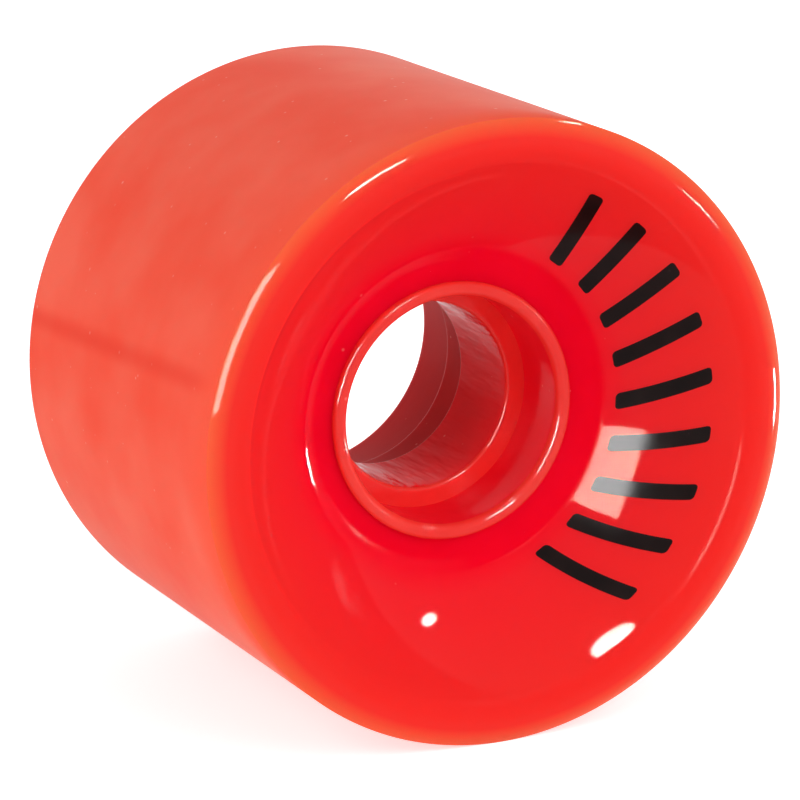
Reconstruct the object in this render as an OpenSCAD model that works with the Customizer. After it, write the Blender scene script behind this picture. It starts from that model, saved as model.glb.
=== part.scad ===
// Roller skate wheel: a polyurethane tyre cast round a rigid hub core.
// The wheel turns about Y, its dished front faces -Y, and the origin is the wheel's centre.

/* [Tread] */
// Diameter of the ground tread
wheel_d = 59; // [54:0.5:68]
// Overall width, from the crest of the front lip to the rear face
wheel_w = 45; // [41:0.5:54]
// How far each edge of the tread lies inside the overall width
tread_inset = 0.7; // [0.4:0.05:1.2]

/* [Front dish] */
// Radius of the rounded lip between the tread and the dish
lip_r = 3; // [2:0.1:4.5]
// Radius of the hollow dish wall
dish_wall_r = 36; // [30:1:60]
// Radius of the bend at the foot of the dish
dish_bend_r = 5; // [2:0.1:6]
// Width of the flat floor between the collar and the bend
dish_floor_w = 0.8; // [0.4:0.1:2]

/* [Rear pocket] */
// Gap between the collar and the foot of the pocket wall
pocket_gap = 0.3; // [0.2:0.05:1.2]
// Draft of the pocket wall, in degrees
pocket_draft = 4; // [1:0.5:10]
// Radius of the rounded pocket mouth
pocket_mouth_r = 1.2; // [0.5:0.1:2.5]

/* [Bearing seats] */
// Diameter of each bearing seat
seat_d = 22; // [19:0.5:24]
// Depth of each bearing seat, from the collar's end to the shoulder
seat_depth = 7; // [5:0.5:8]
// Distance between the two shoulders
web_len = 10; // [8:0.5:11]
// Width of each shoulder
shoulder_w = 1.9; // [1:0.1:2.6]
// Radius on the shoulder's inner edge
shoulder_edge_r = 0.3; // [0.1:0.05:0.5]

/* [Collars] */
// Wall of the collar round each seat
collar_wall = 1.4; // [1.2:0.1:2]
// How far each collar stands out of the tyre
collar_proud = 0.6; // [0.3:0.1:1.2]
// Radius on the collar's inner edge, the lead-in for a bearing
collar_mouth_r = 0.7; // [0.3:0.05:0.7]
// Radius on the collar's outer edge
collar_edge_r = 0.4; // [0.2:0.05:0.45]

/* [Core lock] */
// Length of collar buried in the tyre before the core widens
collar_bury = 1.4; // [0.8:0.1:2]
// Step from the collar out to the barrel
barrel_step = 2; // [1:0.1:2.4]
// Thickness of the flange that carries the rim
flange_t = 3.6; // [2.5:0.1:5]
// Height of the flange between the barrel and the rim
flange_h = 4; // [3.6:0.1:5]
// Width of the rim across the flange
rim_w = 8; // [6.5:0.1:10]
// Thickness of the rim
rim_t = 1.8; // [1.2:0.1:2.4]
// Number of lock holes through the flange
lock_count = 10; // [6:1:12]
// Diameter of each lock hole, which the tyre fills
lock_d = 3; // [2:0.1:3.2]

/* [Hidden] */
$fn = 96;
overcut = 0.5;

wheel_r = wheel_d / 2;
half_w = wheel_w / 2;
tread_half = half_w - tread_inset;

seat_r = seat_d / 2;
shoulder_z = web_len / 2;
collar_z = shoulder_z + seat_depth;
web_r = seat_r - shoulder_w;
collar_r = seat_r + collar_wall;

// Height of the tyre's surface round each collar
floor_z = collar_z - collar_proud;

// Centre of the lip's arc, set so that the arc meets the edge of the tread
lip_rise = lip_r - tread_inset;
lip_c = [wheel_r - sqrt(lip_r * lip_r - lip_rise * lip_rise), half_w - lip_r];

// Centre of the bend's arc, tangent to the floor
bend_c = [collar_r + dish_floor_w, floor_z + dish_bend_r];

// The dish wall is a hollow arc, tangent to the bend inside it and to the lip outside it.
// Its centre follows from the triangle of the three arc centres.
dish_run = lip_c - bend_c;
run_len = norm(dish_run);
to_bend = dish_wall_r - dish_bend_r;
to_lip = dish_wall_r + lip_r;
run_turn = acos((run_len * run_len + to_bend * to_bend - to_lip * to_lip) / (2 * run_len * to_bend));
foot_slope = atan2(dish_run.y, dish_run.x) + run_turn - 90;
foot_normal = [-sin(foot_slope), cos(foot_slope)];
wall_c = bend_c + to_bend * foot_normal;
bend_top = bend_c - dish_bend_r * foot_normal;
lip_foot = wall_c + dish_wall_r * (lip_c - wall_c) / to_lip;

// Pocket wall, from its foot beside the rear collar to its corner with the rear face
pocket_foot = [collar_r + pocket_gap, -floor_z];
pocket_corner = [pocket_foot.x + (half_w - floor_z) * tan(pocket_draft), -half_w];
mouth_run = pocket_mouth_r / tan(45 + pocket_draft / 2);
mouth_c = [pocket_corner.x + mouth_run, pocket_mouth_r - half_w];
mouth_foot = mouth_c - pocket_mouth_r * [cos(pocket_draft), sin(pocket_draft)];

barrel_r = collar_r + barrel_step;
neck_z = floor_z - collar_bury;
barrel_z = neck_z - barrel_step;
rim_inner_r = barrel_r + flange_h;
rim_r = rim_inner_r + rim_t;
lock_pitch_r = barrel_r + flange_h / 2;

// Turns a shape made about Z onto the wheel's axis, with +Z at the front
module on_axis() {
    rotate([90, 0, 0]) children();
}

// Waste left outside a round on a square corner: "into" points from the corner into the material
module corner_waste(corner, into, r) {
    centre = corner + r * into;
    reach = r + overcut;
    difference() {
        translate(centre - reach * [max(into.x, 0), max(into.y, 0)]) square(reach);
        translate(centre) circle(r);
    }
}

// Material that rounds the foot of the dish
module bend_fill() {
    bend_foot = [bend_c.x, floor_z];
    below = [bend_c.x + dish_bend_r * tan(foot_slope / 2), floor_z - overcut];
    difference() {
        polygon([bend_foot, below, bend_top, bend_c]);
        translate(bend_c) circle(dish_bend_r);
    }
}

// Waste between the hollow dish wall and its chord
module wall_waste() {
    reach = 1.2;
    intersection() {
        translate(wall_c) circle(dish_wall_r);
        polygon([wall_c, wall_c + reach * (bend_top - wall_c), wall_c + reach * (lip_foot - wall_c)]);
    }
}

// Waste left outside the round on the pocket's mouth
module mouth_waste() {
    outside = pocket_corner - overcut * [1, 1];
    difference() {
        polygon([mouth_c, mouth_foot, outside, [mouth_c.x, -half_w - overcut], [mouth_c.x, -half_w]]);
        translate(mouth_c) circle(pocket_mouth_r);
    }
}

// Half section of the tyre, reaching in past the collars
module tyre_section() {
    dish_foot = bend_c + [dish_bend_r * tan(foot_slope / 2), -dish_bend_r];
    difference() {
        union() {
            difference() {
                polygon([
                    [seat_r, -floor_z], pocket_foot, pocket_corner, [wheel_r, -half_w], [wheel_r, tread_half],
                    lip_c, lip_foot, bend_top, dish_foot, [seat_r, floor_z]
                ]);
                wall_waste();
            }
            bend_fill();
            intersection() {
                translate(lip_c) circle(lip_r);
                translate([0, lip_c.y - lip_r]) square([wheel_r, 2 * lip_r]);
            }
        }
        mouth_waste();
        corner_waste([wheel_r, -half_w], [-1, 1], tread_inset);
    }
}

// Half section of the core's outside, with no bore
module core_outside() {
    half = [
        [0, collar_z], [collar_r, collar_z], [collar_r, neck_z], [barrel_r, barrel_z], [barrel_r, flange_t / 2],
        [rim_inner_r, flange_t / 2], [rim_inner_r, rim_w / 2], [rim_r, rim_w / 2]
    ];
    rear = [for (i = [len(half) - 1:-1:0]) [half[i].x, -half[i].y]];
    polygon(concat(half, rear));
}

// Half section of the core, with its seats, shoulders and web
module core_section() {
    difference() {
        core_outside();
        translate([0, -collar_z - overcut]) square([web_r, 2 * (collar_z + overcut)]);
        for (side = [-1, 1]) {
            translate([0, side > 0 ? shoulder_z : -collar_z - overcut]) square([seat_r, seat_depth + overcut]);
            corner_waste([seat_r, side * collar_z], [1, -side], collar_mouth_r);
            corner_waste([collar_r, side * collar_z], [-1, -side], collar_edge_r);
            corner_waste([web_r, side * shoulder_z], [1, -side], shoulder_edge_r);
        }
    }
}

// Holes through the flange, which the tyre fills with pins
module lock_holes() {
    for (i = [0:lock_count - 1]) {
        rotate(i * 360 / lock_count)
            translate([lock_pitch_r, 0, 0])
                cylinder(h = flange_t + 2 * overcut, d = lock_d, center = true);
    }
}

// Polyurethane tyre, cast round the core and through its lock holes
module tyre() {
    color("#e8262c") on_axis() difference() {
        rotate_extrude() tyre_section();
        difference() {
            rotate_extrude() core_outside();
            lock_holes();
        }
    }
}

// Rigid core that holds the bearings, with a drilled flange and a T rim inside the tyre
module hub_core() {
    color("#e63c32") on_axis() difference() {
        rotate_extrude() core_section();
        lock_holes();
    }
}

tyre();
hub_core();
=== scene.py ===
"""Looks of a cast polyurethane roller skate wheel: the tyre, the hub core, the printed bars, and a small studio.

The CAD solids carry the sizes. The two lathed skins here follow the same sections with fine, smooth faces, so that a
glossy casting reflects the studio cleanly.
"""

import logging
import math
from dataclasses import dataclass
from enum import Enum

import bpy
from mathutils import Matrix, Vector

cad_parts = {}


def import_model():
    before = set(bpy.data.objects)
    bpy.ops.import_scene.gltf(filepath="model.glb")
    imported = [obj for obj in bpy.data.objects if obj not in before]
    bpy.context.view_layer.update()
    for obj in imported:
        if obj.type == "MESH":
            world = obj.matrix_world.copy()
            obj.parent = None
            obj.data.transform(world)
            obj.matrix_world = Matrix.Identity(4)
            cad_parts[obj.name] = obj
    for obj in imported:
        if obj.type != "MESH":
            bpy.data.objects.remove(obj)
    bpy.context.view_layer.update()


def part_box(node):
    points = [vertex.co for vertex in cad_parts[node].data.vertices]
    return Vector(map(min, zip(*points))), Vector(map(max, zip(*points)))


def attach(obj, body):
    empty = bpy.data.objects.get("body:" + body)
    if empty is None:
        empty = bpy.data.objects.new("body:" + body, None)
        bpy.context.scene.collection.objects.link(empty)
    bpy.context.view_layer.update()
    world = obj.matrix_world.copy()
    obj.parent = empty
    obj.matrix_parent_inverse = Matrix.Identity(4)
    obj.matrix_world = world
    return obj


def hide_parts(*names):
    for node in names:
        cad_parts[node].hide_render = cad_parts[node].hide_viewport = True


LOG = logging.getLogger("skate_wheel")
MM = 0.001
BODY = "root"
# Points nearer to each other than this are one, in millimetres
SAME_MM = 1e-4
# Radians that the wave texture runs through for each unit of its scale
WAVE_RATE = 20.0

Point = tuple[float, float]
Span = tuple[float, float]
Place = tuple[float, float, float]
Tree = bpy.types.NodeTree
Socket = bpy.types.NodeSocket
Sockets = dict[str | int, Socket]


def linear(hex_colour: str) -> tuple[float, float, float, float]:
    """Turns an sRGB hex colour into a linear colour.

    Args:
        hex_colour: six hex digits with a leading hash.

    Returns:
        Linear red, green, blue and an alpha of 1.
    """
    channels = [int(hex_colour[i:i + 2], 16) / 255 for i in (1, 3, 5)]
    curve = [c / 12.92 if c <= 0.04045 else ((c + 0.055) / 1.055) ** 2.4 for c in channels]
    return (*curve, 1.0)


def per_mm(size_mm: float) -> float:
    """Gives the texture scale for a pattern of a real size.

    Args:
        size_mm: width of one cell of the pattern, in millimetres.

    Returns:
        The scale.
    """
    return 1.0 / (size_mm * MM)


def add_node(
    tree: Tree,
    kind: str,
    values: dict[str | int, object] | None = None,
    links: Sockets | None = None,
    **settings: object,
) -> bpy.types.Node:
    """Adds one node with its settings, socket values and incoming links.

    Args:
        tree: node tree that takes the node.
        kind: node type.
        values: socket name or number to its value.
        links: socket name or number to the output that feeds it.
        settings: attributes of the node.

    Returns:
        The new node.
    """
    node = tree.nodes.new(kind)
    for name, value in settings.items():
        setattr(node, name, value)
    for socket, value in (values or {}).items():
        node.inputs[socket].default_value = value
    for socket, source in (links or {}).items():
        tree.links.new(source, node.inputs[socket])
    return node


class Skin(Enum):
    """Stretches of a section that were made in different ways."""

    CAST = "straight from the mould"
    GROUND = "ground to size"
    TURNED = "cut on a lathe"
    SATIN = "moulded dull"
    COLLAR = "moulded glossy"
    WEB = "drawn off its pin"
    SEAT = "reamed"
    SHOULDER = "moulded flat"


class Outline:
    """Half section of a turned piece: radius against height towards the front, in millimetres."""

    def __init__(self, start: Point) -> None:
        """Starts the outline.

        Args:
            start: its first point.
        """
        self.points: list[Point] = [start]
        self.skins: list[Skin] = []

    def line(self, end: Point, skin: Skin, steps: int = 1) -> "Outline":
        """Runs straight to a point.

        Args:
            end: point to reach.
            skin: how the stretch was made.
            steps: number of pieces the line is cut into.

        Returns:
            The outline itself.
        """
        start = self.points[-1]
        for i in range(1, steps + 1):
            t = i / steps
            self._add((start[0] + t * (end[0] - start[0]), start[1] + t * (end[1] - start[1])), skin)
        return self

    def arc(self, centre: Point, radius: float, first: float, last: float, skin: Skin, steps: int = 12) -> "Outline":
        """Runs round an arc.

        Args:
            centre: centre of the arc.
            radius: radius of the arc.
            first: angle where it starts, in degrees from the radial direction.
            last: angle where it ends.
            skin: how the stretch was made.
            steps: number of pieces the arc is cut into.

        Returns:
            The outline itself.
        """
        for i in range(steps + 1):
            angle = math.radians(first + (last - first) * i / steps)
            self._add((centre[0] + radius * math.cos(angle), centre[1] + radius * math.sin(angle)), skin)
        return self

    def _add(self, point: Point, skin: Skin) -> None:
        """Adds a point, unless the outline is already there.

        Args:
            point: point to add.
            skin: how the stretch up to it was made.
        """
        if math.dist(point, self.points[-1]) > SAME_MM:
            self.points.append(point)
            self.skins.append(skin)

    def turn(self, name: str, around: int, skins: tuple[Skin, ...], crease: float = 28.0) -> bpy.types.Object:
        """Turns the closed outline about the wheel's axis, with the front towards -Y, and dresses it.

        Args:
            name: name of the piece.
            around: number of faces round the axis.
            skins: skins of the piece, in the order of its material slots.
            crease: sharpest bend, in degrees, that is still shaded smooth.

        Returns:
            The piece as a mesh object.
        """
        ring = self.points[:-1]
        count = len(ring)
        verts = []
        for j in range(around):
            angle = 2 * math.pi * j / around
            verts += [(r * math.cos(angle) * MM, -z * MM, r * math.sin(angle) * MM) for r, z in ring]
        faces = []
        for j in range(around):
            here, there = j * count, (j + 1) % around * count
            faces += [(here + i, here + (i + 1) % count, there + (i + 1) % count, there + i) for i in range(count)]
        mesh = bpy.data.meshes.new(name)
        mesh.from_pydata(verts, [], faces)
        mesh.polygons.foreach_set("material_index", [skins.index(skin) for skin in self.skins] * around)
        mesh.polygons.foreach_set("use_smooth", [True] * len(faces))
        mesh.set_sharp_from_angle(angle=math.radians(crease))
        for skin in skins:
            mesh.materials.append(FINISHES[skin].material())
        piece = bpy.data.objects.new(name, mesh)
        bpy.context.scene.collection.objects.link(piece)
        return piece


@dataclass(frozen=True)
class Finish:
    """A solid, glossy or satin finish, with cloudy colour, sparse pale specks and a slow ripple.

    Sizes are in millimetres. Specks of dust are finer on the real wheel, and are drawn as coarse as they need to show.
    A subclass gives its own ripple or marks.
    """

    name: str
    colour: str
    deep: str
    speck: str
    roughness: float
    rough_swing: float = 0.02
    ior: float = 1.5
    gloss: float = 0.5
    haze_tint: str = "#ffffff"
    scatter: float = 0.0
    scatter_mm: Place = (3.0, 0.6, 0.4)
    sheen: float = 0.0
    cloud_mm: float = 9.0
    speck_mm: float = 1.6
    speck_share: float = 0.5
    ripple_mm: float = 5.0
    ripple_depth_mm: float = 0.02
    ripple_stretch: Place = (1.0, 1.0, 1.0)
    sheen_roughness: float = 0.28
    cloud_span: Span = (0.35, 0.65)
    speck_reach: float = 0.14
    speck_strength: float = 0.6

    def material(self) -> bpy.types.Material:
        """Builds the finish as a material.

        Returns:
            The material, ready for a slot.
        """
        made = bpy.data.materials.new(self.name)
        made.use_nodes = True
        tree = made.node_tree
        tree.nodes.clear()
        place = add_node(tree, "ShaderNodeTexCoord").outputs["Object"]
        shader = add_node(
            tree,
            "ShaderNodeBsdfPrincipled",
            {
                "IOR": self.ior,
                "Specular IOR Level": self.gloss,
                "Specular Tint": linear(self.haze_tint),
                "Subsurface Weight": self.scatter,
                "Subsurface Radius": self.scatter_mm,
                "Subsurface Scale": MM,
                "Sheen Weight": self.sheen,
                "Sheen Roughness": self.sheen_roughness,
                "Sheen Tint": linear(self.haze_tint),
            },
            self._patterns(tree, place),
        )
        add_node(tree, "ShaderNodeOutputMaterial", links={"Surface": shader.outputs["BSDF"]})
        return made

    def _patterns(self, tree: Tree, place: Socket) -> Sockets:
        """Gives the shader's inputs that change over the surface.

        Args:
            tree: node tree of the material.
            place: position on the piece, in metres.

        Returns:
            Input name to the output that feeds it.
        """
        return {
            "Base Color": self._colour(tree, place),
            "Roughness": self._roughness(tree, place),
            "Normal": self._relief(tree, place),
        }

    def _colour(self, tree: Tree, place: Socket) -> Socket:
        """Clouds the pigment slowly and drops sparse pale specks on it.

        Args:
            tree: node tree of the material.
            place: position on the piece, in metres.

        Returns:
            The colour.
        """
        cloud = add_node(
            tree, "ShaderNodeTexNoise", {"Scale": per_mm(self.cloud_mm), "Detail": 3.0}, {"Vector": place}
        )
        low, high = self.cloud_span
        patch = add_node(
            tree, "ShaderNodeMapRange", {"From Min": low, "From Max": high}, {"Value": cloud.outputs[0]}
        )
        pigment = add_node(
            tree,
            "ShaderNodeMix",
            {6: linear(self.colour), 7: linear(self.deep)},
            {0: patch.outputs[0]},
            data_type="RGBA",
        )
        cells = add_node(tree, "ShaderNodeTexVoronoi", {"Scale": per_mm(self.speck_mm)}, {"Vector": place})
        size = add_node(tree, "ShaderNodeSeparateColor", links={0: cells.outputs["Color"]})
        reach = add_node(
            tree,
            "ShaderNodeMapRange",
            {"From Min": 1.0 - self.speck_share, "To Max": self.speck_reach},
            {"Value": size.outputs[0]},
        )
        edge = add_node(
            tree,
            "ShaderNodeMapRange",
            {"To Min": self.speck_strength, "To Max": 0.0},
            {"Value": cells.outputs["Distance"], "From Max": reach.outputs[0]},
        )
        mixed = add_node(
            tree,
            "ShaderNodeMix",
            {7: linear(self.speck)},
            {0: edge.outputs[0], 6: pigment.outputs[2]},
            data_type="RGBA",
        )
        return mixed.outputs[2]

    def _roughness(self, tree: Tree, place: Socket) -> Socket:
        """Varies the gloss a little over the surface.

        Args:
            tree: node tree of the material.
            place: position on the piece, in metres.

        Returns:
            The roughness.
        """
        patch = add_node(
            tree, "ShaderNodeTexNoise", {"Scale": per_mm(self.cloud_mm / 3), "Detail": 4.0}, {"Vector": place}
        )
        swing = add_node(
            tree,
            "ShaderNodeMapRange",
            {"To Min": self.roughness - self.rough_swing, "To Max": self.roughness + self.rough_swing},
            {"Value": patch.outputs[0]},
        )
        return swing.outputs[0]

    def _relief(self, tree: Tree, place: Socket) -> Socket:
        """Gives the slow ripple that the mould or the tool left.

        Args:
            tree: node tree of the material.
            place: position on the piece, in metres.

        Returns:
            The bumped normal.
        """
        drawn = add_node(
            tree, "ShaderNodeVectorMath", {1: self.ripple_stretch}, {0: place}, operation="MULTIPLY"
        )
        ripple = add_node(
            tree,
            "ShaderNodeTexNoise",
            {"Scale": per_mm(self.ripple_mm), "Detail": 2.0},
            {"Vector": drawn.outputs[0]},
        )
        bump = add_node(
            tree,
            "ShaderNodeBump",
            {"Strength": 1.0, "Distance": self.ripple_depth_mm * MM},
            {"Height": ripple.outputs[0]},
        )
        return bump.outputs[0]


@dataclass(frozen=True)
class CastFinish(Finish):
    """A casting painted deep red at the hub and lighter red to orange towards the lip: painted light on the exposed
    lip and its outer edge.
    """

    # Painted light, laid on by radius over the hub's deep red: the wall, lip and outer edge colours, each lighter or
    # more orange than the last
    wall: str = "#ee1f2a"
    lit_wall_r_mm: Span = (15.4, 17.6)
    thin: str = "#f5402e"
    lit_lip_r_mm: Span = (17.6, 29.0)
    edge: str = "#f4603c"
    lit_edge_r_mm: Span = (27.8, 29.4)
    dull: float = 0.22
    dull_floor_mm: Span = (14.3, 14.8)
    dull_foot_mm: Span = (15.6, 16.2)
    dull_side_mm: Span = (-4.0, 2.0)
    dull_left_mm: Span = (24.4, 24.9)
    dull_right_mm: Span = (25.4, 25.8)
    dull_crest_mm: Span = (26.8, 27.4)

    def _by_radius(self, tree: Tree, place: Socket, span: Span, ends: Span) -> Socket:
        """Gives a value that changes with the distance from the wheel's axis.

        Args:
            tree: node tree of the material.
            place: position on the piece, in metres.
            span: radii between which it changes, in millimetres.
            ends: value at each of them.

        Returns:
            The value.
        """
        flat = add_node(tree, "ShaderNodeVectorMath", {1: (1.0, 0.0, 1.0)}, {0: place}, operation="MULTIPLY")
        radius = add_node(tree, "ShaderNodeVectorMath", links={0: flat.outputs[0]}, operation="LENGTH")
        ramp = add_node(
            tree,
            "ShaderNodeMapRange",
            {"From Min": span[0] * MM, "From Max": span[1] * MM, "To Min": ends[0], "To Max": ends[1]},
            {"Value": radius.outputs["Value"]},
        )
        return ramp.outputs[0]

    def _dulled(self, tree: Tree, place: Socket) -> Socket:
        """Finds the bands at the dish's floor, foot and lip flank where the gloss is taken down.

        A lamp would show in these bands a second time. The real wheel shows it once.

        Args:
            tree: node tree of the material.
            place: position on the piece, in metres.

        Returns:
            A value of 1 there and 0 elsewhere.
        """
        parts = add_node(tree, "ShaderNodeSeparateXYZ", links={0: place})
        side = add_node(
            tree,
            "ShaderNodeMapRange",
            {"From Min": self.dull_side_mm[0] * MM, "From Max": self.dull_side_mm[1] * MM},
            {"Value": parts.outputs["X"]},
        )
        foot = add_node(
            tree,
            "ShaderNodeMath",
            links={0: self._by_radius(tree, place, self.dull_foot_mm, (1.0, 0.0)), 1: side.outputs[0]},
            operation="MULTIPLY",
        )
        start = add_node(
            tree,
            "ShaderNodeMapRange",
            links={
                "Value": side.outputs[0],
                "To Min": self._by_radius(tree, place, self.dull_left_mm, (0.0, 1.0)),
                "To Max": self._by_radius(tree, place, self.dull_right_mm, (0.0, 1.0)),
            },
        )
        flank = add_node(
            tree,
            "ShaderNodeMath",
            links={0: start.outputs[0], 1: self._by_radius(tree, place, self.dull_crest_mm, (1.0, 0.0))},
            operation="MULTIPLY",
        )
        total = self._by_radius(tree, place, self.dull_floor_mm, (1.0, 0.0))
        for band in (foot, flank):
            total = add_node(
                tree, "ShaderNodeMath", links={0: total, 1: band.outputs[0]}, operation="MAXIMUM"
            ).outputs[0]
        return total

    def _patterns(self, tree: Tree, place: Socket) -> Sockets:
        """Adds the loss of gloss on the dull bands.

        Args:
            tree: node tree of the material.
            place: position on the piece, in metres.

        Returns:
            Input name to the output that feeds it.
        """
        patterns = Finish._patterns(self, tree, place)
        dulled = self._dulled(tree, place)
        patterns["Roughness"] = add_node(
            tree,
            "ShaderNodeMath",
            {1: self.dull},
            {0: dulled, 2: patterns["Roughness"]},
            operation="MULTIPLY_ADD",
        ).outputs[0]
        patterns["Specular IOR Level"] = add_node(
            tree, "ShaderNodeMapRange", {"To Min": self.gloss, "To Max": 0.0}, {"Value": dulled}
        ).outputs[0]
        return patterns

    def _colour(self, tree: Tree, place: Socket) -> Socket:
        """Paints light by radius over the deep red of the hub: lighter red from the wall to the lip, and orange at its
        outer edge.

        Args:
            tree: node tree of the material.
            place: position on the piece, in metres.

        Returns:
            The colour.
        """
        total = Finish._colour(self, tree, place)
        # Painted light: each step mixes a lighter, more orange red in over the last, outward from the hub
        steps = ((self.wall, self.lit_wall_r_mm), (self.thin, self.lit_lip_r_mm), (self.edge, self.lit_edge_r_mm))
        for colour, span in steps:
            share = self._by_radius(tree, place, span, (0.0, 1.0))
            total = add_node(
                tree, "ShaderNodeMix", {7: linear(colour)}, {0: share, 6: total}, data_type="RGBA"
            ).outputs[2]
        return total


@dataclass(frozen=True)
class GroundFinish(Finish):
    """A ground skin with a painted reflection, a faint darker line on the left, and a haze that fades out at the
    tread's front edge, where the colour turns to the lip's painted orange light.
    """

    # Painted reflection: a soft darker band skewed across the left of the tread, standing in for a dark gap in the
    # surroundings
    painted_reflection: str = "#e63222"
    painted_reflection_z_mm: float = 6.35
    painted_reflection_skew: float = 0.06
    painted_reflection_width_mm: float = 1.6
    painted_reflection_share: float = 0.5
    # Orange at the tread's front edge: the lip's painted light carried onto the tread
    rim: str = "#ff5b45"
    rim_y_mm: float = -21.8
    fade_mm: float = 6.0

    def _front_edge_ramp(self, tree: Tree, place: Socket, ends: Span) -> Socket:
        """Gives a value that changes from the tread's front edge to fade_mm inward; it fades the haze and lays on the
        lip's painted edge light.

        Args:
            tree: node tree of the material.
            place: position on the piece, in metres.
            ends: value at the edge and away from it.

        Returns:
            The value.
        """
        parts = add_node(tree, "ShaderNodeSeparateXYZ", links={0: place})
        ramp = add_node(
            tree,
            "ShaderNodeMapRange",
            {
                "From Min": self.rim_y_mm * MM,
                "From Max": (self.rim_y_mm + self.fade_mm) * MM,
                "To Min": ends[0],
                "To Max": ends[1],
            },
            {"Value": parts.outputs["Y"]},
            interpolation_type="SMOOTHSTEP",
        )
        return ramp.outputs[0]

    def _patterns(self, tree: Tree, place: Socket) -> Sockets:
        """Lets the haze fade out at the tread's front edge.

        Args:
            tree: node tree of the material.
            place: position on the piece, in metres.

        Returns:
            Input name to the output that feeds it.
        """
        patterns = Finish._patterns(self, tree, place)
        patterns["Sheen Weight"] = self._front_edge_ramp(tree, place, (0.0, self.sheen))
        return patterns

    def _colour(self, tree: Tree, place: Socket) -> Socket:
        """Paints a darker line along the left of the tread, a painted reflection of a dark gap in the surroundings,
        and turns the colour to the lip's painted orange light towards the front edge.

        Args:
            tree: node tree of the material.
            place: position on the piece, in metres.

        Returns:
            The colour.
        """
        parts = add_node(tree, "ShaderNodeSeparateXYZ", links={0: place})
        course = add_node(
            tree,
            "ShaderNodeMath",
            {1: self.painted_reflection_skew},
            {0: parts.outputs["Y"], 2: parts.outputs["Z"]},
            operation="MULTIPLY_ADD",
        )
        off = add_node(
            tree, "ShaderNodeMath", {1: self.painted_reflection_z_mm * MM}, {0: course.outputs[0]}, operation="SUBTRACT"
        )
        away = add_node(tree, "ShaderNodeMath", links={0: off.outputs[0]}, operation="ABSOLUTE")
        line = add_node(
            tree,
            "ShaderNodeMapRange",
            {"From Max": self.painted_reflection_width_mm * MM, "To Min": self.painted_reflection_share, "To Max": 0.0},
            {"Value": away.outputs[0]},
            interpolation_type="SMOOTHSTEP",
        )
        # The painted reflection is drawn on the left half only
        left = add_node(tree, "ShaderNodeMath", {1: 0.0}, {0: parts.outputs["X"]}, operation="LESS_THAN")
        share = add_node(
            tree, "ShaderNodeMath", links={0: line.outputs[0], 1: left.outputs[0]}, operation="MULTIPLY"
        )
        mixed = add_node(
            tree,
            "ShaderNodeMix",
            {7: linear(self.painted_reflection)},
            {0: share.outputs[0], 6: Finish._colour(self, tree, place)},
            data_type="RGBA",
        )
        # Painted light: near the front edge the colour turns to the lip's orange
        faded = add_node(
            tree,
            "ShaderNodeMix",
            {7: linear(self.rim)},
            {0: self._front_edge_ramp(tree, place, (1.0, 0.0)), 6: mixed.outputs[2]},
            data_type="RGBA",
        )
        return faded.outputs[2]


@dataclass(frozen=True)
class TurnedFinish(Finish):
    """A face cut on a lathe: fine rings round the axis."""

    ring_mm: float = 2.83

    def _relief(self, tree: Tree, place: Socket) -> Socket:
        """Cuts rings round the axis; real feed marks are finer, and are drawn as coarse as they need to show.

        Args:
            tree: node tree of the material.
            place: position on the piece, in metres.

        Returns:
            The bumped normal.
        """
        rings = add_node(
            tree,
            "ShaderNodeTexWave",
            {
                "Scale": 2 * math.pi * per_mm(self.ring_mm) / WAVE_RATE,
                "Distortion": 0.6,
                "Detail": 2.0,
                "Detail Scale": 1.5,
            },
            {"Vector": place},
            wave_type="RINGS",
            rings_direction="Y",
        )
        bump = add_node(
            tree,
            "ShaderNodeBump",
            {"Strength": 1.0, "Distance": self.ripple_depth_mm * MM},
            {"Height": rings.outputs[0]},
        )
        return bump.outputs[0]


# Cast polyurethane, straight from a polished mould: wet gloss over a pigment that light sinks into and spreads red;
# towards the lip it carries painted light in a lighter, more orange red
CAST = CastFinish(
    "cast_polyurethane_gloss", "#f40926", "#ee0522", "#ff8f86", 0.04, 0.015,
    gloss=0.08, haze_tint="#ffdccb", thin="#ee3028", scatter=0.4, scatter_mm=(6.0, 0.7, 0.5), speck_share=0.6,
    ripple_mm=6.0,
)
# The same casting ground to size: a dry, hazy skin whose broken surface scatters pale light, with faint grinding lines
GROUND = GroundFinish(
    "ground_polyurethane_tread", "#ff6550", "#fb513c", "#ffc4b8", 0.38, 0.04,
    gloss=0.0, haze_tint="#fff0ea", scatter=0.5, scatter_mm=(6.0, 0.7, 0.5), sheen=0.34, speck_share=0.7,
    cloud_mm=14.0, ripple_mm=2.0, ripple_depth_mm=0.006, ripple_stretch=(0.12, 1.0, 0.12),
)
# The casting's poured side, turned flat on a lathe: satin, with feed rings
TURNED = TurnedFinish(
    "turned_polyurethane", "#f0382f", "#ea2f28", "#ff9f92", 0.34, 0.04,
    gloss=0.12, scatter=0.5, scatter_mm=(4.0, 0.7, 0.5), ripple_depth_mm=0.012,
)
# Moulded against a blasted core pin: a dull satin that greys where it is seen at a slant
SATIN = Finish(
    "satin_moulded_bore", "#d0181a", "#c41316", "#ff8f86", 0.30, 0.05,
    gloss=0.02, scatter=0.6, scatter_mm=(3.0, 0.5, 0.4), ripple_mm=3.0, ripple_depth_mm=0.015,
)
# Injection moulded core, colour matched: hard gloss; its collar is slightly more orange than the tyre, partly its own
# colour and partly painted light on that exposed end
COLLAR = Finish(
    "moulded_core_gloss", "#ee3f36", "#e8322d", "#ff9f92", 0.09, 0.03,
    gloss=0.14, scatter=0.5, scatter_mm=(3.0, 0.6, 0.5), ripple_mm=1.4, ripple_depth_mm=0.04,
)
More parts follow.
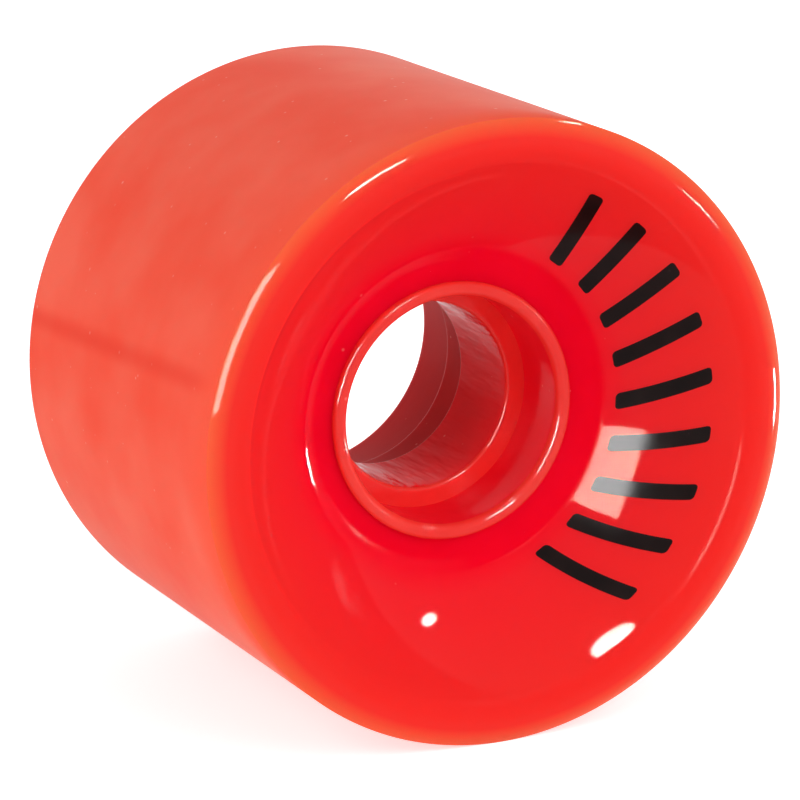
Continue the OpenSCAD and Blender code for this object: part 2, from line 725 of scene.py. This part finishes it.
# The same core where its pin was drawn out: gloss with long drag marks along the axis
WEB = Finish(
    "moulded_core_drawn", "#ee0e1c", "#e00a18", "#ff8f86", 0.06, 0.02,
    gloss=0.02, scatter=0.6, scatter_mm=(3.0, 0.5, 0.4), ripple_mm=1.3, ripple_depth_mm=0.22,
    ripple_stretch=(1.0, 0.2, 1.0),
)
# The same core in the front bearing seat: reamed to size, a deep crimson satin
SEAT = Finish(
    "reamed_bearing_seat", "#f4142a", "#ec1026", "#ff8f86", 0.17, 0.04,
    gloss=0.05, scatter=0.5, scatter_mm=(3.0, 0.5, 0.4), ripple_mm=1.2, ripple_depth_mm=0.03,
)
# The same core on the shoulder that the bearing stops against: moulded, painted halfway between the collar's orange
# and the seat's crimson, a mean of the light and shade that fall round it
SHOULDER = Finish(
    "moulded_core_shoulder", "#f6322f", "#f02a29", "#ff9f92", 0.14, 0.03,
    gloss=0.12, scatter=0.5, scatter_mm=(3.0, 0.6, 0.5), ripple_mm=1.4, ripple_depth_mm=0.04,
)
# Pad-printed ink: a thin, near-black film that takes the gloss of the casting under it
INK = Finish(
    "pad_printed_ink", "#1d1413", "#140d0d", "#3a2b2a", 0.12, 0.04,
    gloss=0.06, cloud_mm=4.0, ripple_mm=3.0, ripple_depth_mm=0.01,
)

FINISHES: dict[Skin, Finish] = {
    Skin.CAST: CAST,
    Skin.GROUND: GROUND,
    Skin.TURNED: TURNED,
    Skin.SATIN: SATIN,
    Skin.COLLAR: COLLAR,
    Skin.WEB: WEB,
    Skin.SEAT: SEAT,
    Skin.SHOULDER: SHOULDER,
}


@dataclass
class WheelSection:
    """Sizes of the wheel's section, in millimetres; the tread and width come from the frame."""

    wheel_r: float
    half_w: float
    tread_inset: float = 0.7
    lip_r: float = 3.0
    wall_r: float = 36.0
    bend_r: float = 5.0
    floor_w: float = 0.8
    pocket_gap: float = 0.3
    pocket_draft: float = 4.0
    mouth_r: float = 1.2
    seat_r: float = 11.0
    seat_depth: float = 7.0
    shoulder_z: float = 5.0
    web_r: float = 9.1
    shoulder_edge_r: float = 0.3
    collar_r: float = 12.4
    collar_proud: float = 0.6
    collar_mouth_r: float = 0.7
    collar_edge_r: float = 0.4
    neck_bury: float = 1.4
    barrel_step: float = 2.0
    flange_half: float = 1.8
    flange_h: float = 4.0
    rim_half: float = 4.0
    rim_t: float = 1.8

    @property
    def collar_z(self) -> float:
        """Height of the collar's end."""
        return self.shoulder_z + self.seat_depth

    @property
    def floor_z(self) -> float:
        """Height of the tyre's floor round the collar."""
        return self.collar_z - self.collar_proud

    @property
    def lip_c(self) -> Vector:
        """Centre of the lip's arc."""
        rise = self.lip_r - self.tread_inset
        return Vector((self.wheel_r - math.sqrt(self.lip_r ** 2 - rise ** 2), self.half_w - self.lip_r))

    @property
    def bend_c(self) -> Vector:
        """Centre of the bend's arc at the foot of the dish."""
        return Vector((self.collar_r + self.floor_w, self.floor_z + self.bend_r))

    @property
    def foot_slope(self) -> float:
        """Slope of the dish wall where it leaves the bend, in degrees from the side plane."""
        run = self.lip_c - self.bend_c
        to_bend, to_lip = self.wall_r - self.bend_r, self.wall_r + self.lip_r
        turn = math.acos((run.length ** 2 + to_bend ** 2 - to_lip ** 2) / (2 * run.length * to_bend))
        return math.degrees(math.atan2(run.y, run.x) + turn) - 90

    @property
    def wall_c(self) -> Vector:
        """Centre of the hollow dish wall's arc."""
        tilt = math.radians(self.foot_slope)
        return self.bend_c + (self.wall_r - self.bend_r) * Vector((-math.sin(tilt), math.cos(tilt)))

    @property
    def lip_slope(self) -> float:
        """Slope of the dish wall where it meets the lip, in degrees from the side plane."""
        run = self.lip_c - self.wall_c
        return math.degrees(math.atan2(run.y, run.x)) + 90

    def on_wall(self, along: float, height: float) -> Vector:
        """Finds a place on the hollow dish wall.

        Args:
            along: distance up the wall from the bend, in millimetres.
            height: distance out of the wall, in millimetres.

        Returns:
            Its radius and height in the section.
        """
        tilt = math.radians(self.foot_slope) + along / self.wall_r
        return self.wall_c + (self.wall_r - height) * Vector((math.sin(tilt), -math.cos(tilt)))

    def buried(self) -> list[Point]:
        """Gives the surface where tyre and core are bonded.

        Returns:
            Its points from the front floor to the rear one.
        """
        neck = self.floor_z - self.neck_bury
        barrel = self.collar_r + self.barrel_step
        rim = barrel + self.flange_h
        front = [
            (self.collar_r, self.floor_z),
            (self.collar_r, neck),
            (barrel, neck - self.barrel_step),
            (barrel, self.flange_half),
            (rim, self.flange_half),
            (rim, self.rim_half),
            (rim + self.rim_t, self.rim_half),
        ]
        return front + [(r, -z) for r, z in reversed(front)]


@dataclass
class Tyre:
    """The cast tyre: ground tread, rounded lip, dished front, turned rear and its pocket."""

    section: WheelSection
    around: int = 320

    def outline(self) -> Outline:
        """Draws the tyre's section from the foot of the dish, over the tread, to the pocket and back inside.

        Returns:
            The closed outline.
        """
        s = self.section
        edge = math.degrees(math.asin((s.lip_r - s.tread_inset) / s.lip_r))
        corner_r = s.collar_r + s.pocket_gap + (s.half_w - s.floor_z) * math.tan(math.radians(s.pocket_draft))
        mouth_x = corner_r + s.mouth_r / math.tan(math.radians(45 + s.pocket_draft / 2))
        line = Outline((s.collar_r, s.floor_z))
        line.line((s.bend_c.x, s.floor_z), Skin.CAST, steps=4)
        line.arc(s.bend_c, s.bend_r, -90, s.foot_slope - 90, Skin.CAST, steps=24)
        line.arc(s.wall_c, s.wall_r, s.foot_slope - 90, s.lip_slope - 90, Skin.CAST, steps=36)
        line.arc(s.lip_c, s.lip_r, s.lip_slope + 90, edge, Skin.CAST, steps=36)
        tread = s.half_w - s.tread_inset
        line.line((s.wheel_r, -tread), Skin.GROUND, steps=60)
        line.arc((s.wheel_r - s.tread_inset, -tread), s.tread_inset, 0, -90, Skin.TURNED, steps=8)
        line.line((mouth_x, -s.half_w), Skin.TURNED, steps=30)
        line.arc((mouth_x, s.mouth_r - s.half_w), s.mouth_r, -90, -180 + s.pocket_draft, Skin.SATIN, steps=10)
        line.line((s.collar_r + s.pocket_gap, -s.floor_z), Skin.SATIN, steps=20)
        for point in reversed(s.buried()):
            line.line(point, Skin.SATIN)
        return line

    def build(self) -> bpy.types.Object:
        """Turns the tyre and dresses it.

        Returns:
            The dressed piece.
        """
        skins = (Skin.CAST, Skin.GROUND, Skin.TURNED, Skin.SATIN)
        piece = self.outline().turn("cast_tyre", self.around, skins)
        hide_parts("tyre")
        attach(piece, BODY)
        return piece


@dataclass
class HubCore:
    """The moulded core: a collar and a bearing seat on each side of a web."""

    section: WheelSection
    around: int = 240

    def outline(self) -> Outline:
        """Draws the core's section from the front collar, through the bore, and back over the buried barrel.

        Returns:
            The closed outline.
        """
        s = self.section
        line = Outline((s.collar_r, s.floor_z))
        stretches = (self._collar_edge, self._collar_mouth, self._shoulder)
        for side, skin in ((1, Skin.COLLAR), (-1, Skin.SATIN)):
            for draw in stretches[::side]:
                draw(line, side, skin)
        for point in reversed(s.buried()):
            line.line(point, Skin.COLLAR)
        return line

    def _collar_edge(self, line: Outline, side: int, skin: Skin) -> None:
        """Rounds the collar's outer edge.

        Args:
            line: outline to extend.
            side: 1 at the front, -1 at the rear.
            skin: how the stretch was made.
        """
        s = self.section
        centre = (s.collar_r - s.collar_edge_r, side * (s.collar_z - s.collar_edge_r))
        first, last = (0, 90) if side > 0 else (-90, 0)
        line.arc(centre, s.collar_edge_r, first, last, skin, steps=10)

    def _collar_mouth(self, line: Outline, side: int, skin: Skin) -> None:
        """Rounds the collar's inner edge, the lead-in for a bearing.

        Args:
            line: outline to extend.
            side: 1 at the front, -1 at the rear.
            skin: how the stretch was made.
        """
        s = self.section
        centre = (s.seat_r + s.collar_mouth_r, side * (s.collar_z - s.collar_mouth_r))
        first, last = (90, 180) if side > 0 else (180, 270)
        line.arc(centre, s.collar_mouth_r, first, last, skin, steps=14)

    def _shoulder(self, line: Outline, side: int, skin: Skin) -> None:
        """Runs down the seat, over the shoulder and round its edge into the web.

        Args:
            line: outline to extend.
            side: 1 at the front, -1 at the rear.
            skin: how the stretch was made.
        """
        s = self.section
        centre = (s.web_r + s.shoulder_edge_r, side * (s.shoulder_z - s.shoulder_edge_r))
        if side > 0:
            line.line((s.seat_r, s.shoulder_z), Skin.SEAT, steps=14)
            line.line((centre[0], s.shoulder_z), Skin.SHOULDER, steps=6)
            line.arc(centre, s.shoulder_edge_r, 90, 180, skin, steps=8)
            line.line((s.web_r, -centre[1]), Skin.WEB, steps=24)
        else:
            line.arc(centre, s.shoulder_edge_r, 180, 270, skin, steps=8)
            line.line((s.seat_r, -s.shoulder_z), skin, steps=6)
            line.line((s.seat_r, s.collar_mouth_r - s.collar_z), skin, steps=14)

    def build(self) -> bpy.types.Object:
        """Turns the core and dresses it.

        Returns:
            The dressed piece.
        """
        skins = (Skin.SATIN, Skin.COLLAR, Skin.WEB, Skin.SEAT, Skin.SHOULDER)
        piece = self.outline().turn("moulded_core", self.around, skins)
        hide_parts("hub_core")
        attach(piece, BODY)
        return piece


@dataclass
class PrintedBars:
    """Plain slanted bars printed on the dish, in an arc on one side of the bore; millimetres and degrees."""

    section: WheelSection
    count: int = 9
    span: float = 112.0
    middle: float = 2.0
    inner: float = 0.9
    outer: float = 10.4
    width: float = 1.6
    corner: float = 0.4
    slant: float = 9.0
    film: float = 0.015
    rows: int = 24
    columns: int = 6

    def _on_wall(self, along: float, angle: float, height: float) -> Place:
        """Places a point on the dish wall.

        Args:
            along: distance up the wall from the bend, in millimetres.
            angle: angle round the axis from +X, in radians.
            height: distance out of the wall, in millimetres.

        Returns:
            The point in metres.
        """
        spot = self.section.on_wall(along, height)
        return (spot.x * math.cos(angle) * MM, -spot.y * MM, spot.x * math.sin(angle) * MM)

    def _half_width(self, along: float) -> float:
        """Gives half the bar's width at a place along it, drawn in round the corners.

        Args:
            along: distance up the wall from the bend, in millimetres.

        Returns:
            The half width in millimetres.
        """
        short = max(0.0, self.corner - min(along - self.inner, self.outer - along))
        return self.width / 2 - self.corner + math.sqrt(max(0.0, self.corner ** 2 - short ** 2))

    def _bar(self, angle: float, verts: list[Place], faces: list[tuple[int, ...]]) -> None:
        """Adds one bar as a thin film that follows the wall.

        Args:
            angle: angle of the bar's middle, in degrees.
            verts: list of points to extend.
            faces: list of faces to extend.
        """
        base = len(verts)
        wide = self.columns + 1
        for i in range(self.rows + 1):
            share = i / self.rows
            ease = 0.5 - 0.5 * math.cos(math.pi * share)
            along = self.inner + (self.outer - self.inner) * ease
            radius = self.section.on_wall(along, 0.0).x
            lean = math.radians(angle + self.slant * (ease - 0.5))
            half = self._half_width(along)
            for k in range(wide):
                offset = half * (2 * k / self.columns - 1)
                verts.append(self._on_wall(along, lean + offset / radius, self.film))
        for i in range(self.rows):
            for k in range(wide - 1):
                low = base + i * wide + k
                faces.append((low, low + wide, low + wide + 1, low + 1))

    def build(self) -> bpy.types.Object:
        """Prints the bars.

        Returns:
            The dressed piece.
        """
        verts: list[Place] = []
        faces: list[tuple[int, ...]] = []
        for i in range(self.count):
            self._bar(self.middle + self.span * (i / (self.count - 1) - 0.5), verts, faces)
        mesh = bpy.data.meshes.new("printed_bars")
        mesh.from_pydata(verts, [], faces)
        mesh.polygons.foreach_set("use_smooth", [True] * len(faces))
        piece = bpy.data.objects.new("printed_bars", mesh)
        bpy.context.scene.collection.objects.link(piece)
        piece.data.materials.append(INK.material())
        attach(piece, BODY)
        return piece


class LampShape(Enum):
    """Outlines of the studio's lamps."""

    BOX = "RECTANGLE"
    ROUND = "ELLIPSE"


class LampUse(Enum):
    """What a lamp is there for: to light the wheel, or to show in its gloss."""

    FILL = "light alone"
    GLINT = "gloss alone"


@dataclass(frozen=True)
class Lamp:
    """A soft lamp aimed at the wheel; angles in degrees as seen from the wheel, sizes in metres."""

    name: str
    azimuth: float
    elevation: float
    size: tuple[float, float]
    radiance: float
    use: LampUse
    shape: LampShape = LampShape.BOX
    distance: float = 0.6
    roll: float = 0.0

    def build(self) -> bpy.types.Object:
        """Hangs the lamp.

        Returns:
            The lamp.
        """
        light = bpy.data.lights.new(self.name, "AREA")
        light.shape = self.shape.value
        light.size, light.size_y = self.size
        area = self.size[0] * self.size[1] * (math.pi / 4 if self.shape is LampShape.ROUND else 1.0)
        light.energy = self.radiance * math.pi * area
        lamp = bpy.data.objects.new(self.name, light)
        lamp.visible_glossy = self.use is LampUse.GLINT
        lamp.visible_diffuse = self.use is LampUse.FILL
        lamp.visible_camera = False
        way = heading(self.azimuth, self.elevation)
        lamp.location = way * self.distance
        rolled = Matrix.Rotation(math.radians(self.roll), 3, "Z")
        lamp.rotation_euler = (way.to_track_quat("Z", "Y").to_matrix() @ rolled).to_euler()
        bpy.context.scene.collection.objects.link(lamp)
        return lamp


def heading(azimuth: float, elevation: float) -> Vector:
    """Gives the direction from the wheel to a place; azimuth 0 is in front of it, on the -Y side.

    Args:
        azimuth: angle towards +X, in degrees.
        elevation: angle above the floor, in degrees.

    Returns:
        A unit vector.
    """
    a, e = math.radians(azimuth), math.radians(elevation)
    return Vector((math.sin(a) * math.cos(e), -math.cos(a) * math.cos(e), math.sin(e)))


@dataclass
class Studio:
    """Pale floor, white surroundings, soft lamps and the camera."""

    floor_z: float
    floor_size: float = 3.0
    azimuth: float = -25.99
    elevation: float = 14.59
    distance_mm: float = 382.0
    aim_right_mm: float = 0.134
    aim_down_mm: float = 1.596
    lens_mm: float = 178.7
    sensor_mm: float = 36.0
    tent_seen: float = 1.0
    tent_light: float = 0.38
    floor_glow: float = 0.6
    floor_light: float = 0.15
    lamps: tuple[Lamp, ...] = (
        Lamp("left_box", -36.5, 11.0, (0.19, 0.35), 85.0, LampUse.GLINT, roll=-17.0),
        Lamp("front_box", 5.0, 25.5, (0.12, 0.055), 260.0, LampUse.GLINT),
        Lamp("top_lamp", -43.5, 69.7, (0.175, 0.07), 240.0, LampUse.GLINT, LampShape.ROUND, roll=52.0),
        Lamp("right_lamp", 61.5, 42.8, (0.075, 0.03), 220.0, LampUse.GLINT, LampShape.ROUND, roll=-18.0),
        Lamp("right_strip", 67.0, -12.5, (0.014, 0.026), 260.0, LampUse.GLINT, distance=0.13),
        Lamp("right_spot", 43.0, 1.0, (0.05, 0.03), 180.0, LampUse.GLINT),
        Lamp("rear_fill", 165.0, 12.0, (1.0, 0.8), 0.95, LampUse.FILL, distance=0.9),
        Lamp("front_fill", 32.0, 30.0, (1.0, 0.8), 1.9, LampUse.FILL, distance=0.9),
        Lamp("left_fill", -80.0, 25.0, (1.0, 0.8), 1.55, LampUse.FILL, distance=0.9),
    )

    def build(self) -> None:
        """Sets up the floor, the surroundings, the lamps, the camera and the colour handling."""
        self._floor()
        self._tent()
        for lamp in self.lamps:
            lamp.build()
            LOG.info("hung %s", lamp.name)
        self._camera()
        bpy.context.scene.view_settings.view_transform = "Standard"

    def _floor(self) -> None:
        """Lays white paper, which glows a little to the eye, under the wheel and a long way behind it."""
        half = self.floor_size / 2
        corners = [(x, y, self.floor_z) for x, y in ((-half, -half), (half, -half), (half, half), (-half, half))]
        mesh = bpy.data.meshes.new("floor")
        mesh.from_pydata(corners, [], [(0, 1, 2, 3)])
        sheet = bpy.data.objects.new("floor", mesh)
        bpy.context.scene.collection.objects.link(sheet)
        made = bpy.data.materials.new("white_paper")
        made.use_nodes = True
        tree = made.node_tree
        tree.nodes.clear()
        paper = add_node(tree, "ShaderNodeBsdfDiffuse", {"Color": linear("#f4f4f4")})
        glow = self._seen(tree, self.floor_glow, self.floor_light)
        light = add_node(tree, "ShaderNodeEmission", links={"Strength": glow})
        both = add_node(tree, "ShaderNodeAddShader", links={0: paper.outputs[0], 1: light.outputs[0]})
        add_node(tree, "ShaderNodeOutputMaterial", links={"Surface": both.outputs[0]})
        mesh.materials.append(made)

    def _seen(self, tree: Tree, seen: float, lit: float) -> Socket:
        """Gives one strength to what the camera, a reflection or glass shows, and another to the light that falls.

        Args:
            tree: node tree that takes the nodes.
            seen: strength to the eye.
            lit: strength of the light it gives.

        Returns:
            The strength.
        """
        path = add_node(tree, "ShaderNodeLightPath")
        rays = path.outputs["Is Camera Ray"]
        for kind in ("Is Glossy Ray", "Is Transmission Ray"):
            rays = add_node(
                tree, "ShaderNodeMath", links={0: rays, 1: path.outputs[kind]}, operation="MAXIMUM"
            ).outputs[0]
        return add_node(
            tree, "ShaderNodeMapRange", {"To Min": lit, "To Max": seen}, {"Value": rays}
        ).outputs[0]

    def _tent(self) -> None:
        """Lights the wheel from all round through a white tent, brighter to the eye than the light it gives."""
        world = bpy.data.worlds.new("light_tent")
        bpy.context.scene.world = world
        world.use_nodes = True
        tree = world.node_tree
        tree.nodes.clear()
        seen = self._seen(tree, self.tent_seen, self.tent_light)
        shell = add_node(tree, "ShaderNodeBackground", {"Color": linear("#ffffff")}, {"Strength": seen})
        add_node(tree, "ShaderNodeOutputWorld", links={"Surface": shell.outputs[0]})

    def _camera(self) -> None:
        """Stands the camera where the photograph was taken from."""
        data = bpy.data.cameras.new("camera")
        data.lens = self.lens_mm
        data.sensor_width = self.sensor_mm
        data.clip_start = 0.01
        camera = bpy.data.objects.new("camera", data)
        back = heading(self.azimuth, self.elevation)
        turned = back.to_track_quat("Z", "Y").to_matrix()
        right, up = turned.col[0], turned.col[1]
        aim = right * self.aim_right_mm - up * self.aim_down_mm
        camera.matrix_world = Matrix.Translation((back * self.distance_mm + aim) * MM) @ turned.to_4x4()
        bpy.context.scene.collection.objects.link(camera)
        bpy.context.scene.camera = camera


def main() -> None:
    """Builds the wheel on its frame, then the studio, and reports each piece."""
    logging.basicConfig(level=logging.INFO, format="%(message)s")
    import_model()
    low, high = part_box("tyre")
    section = WheelSection(wheel_r=(high.x - low.x) / 2 / MM, half_w=(high.y - low.y) / 2 / MM)
    for maker in (Tyre(section), HubCore(section), PrintedBars(section)):
        piece = maker.build()
        LOG.info("made %s with %d faces", piece.name, len(piece.data.polygons))
    Studio(floor_z=low.z).build()


if __name__ == "__main__":
    main()
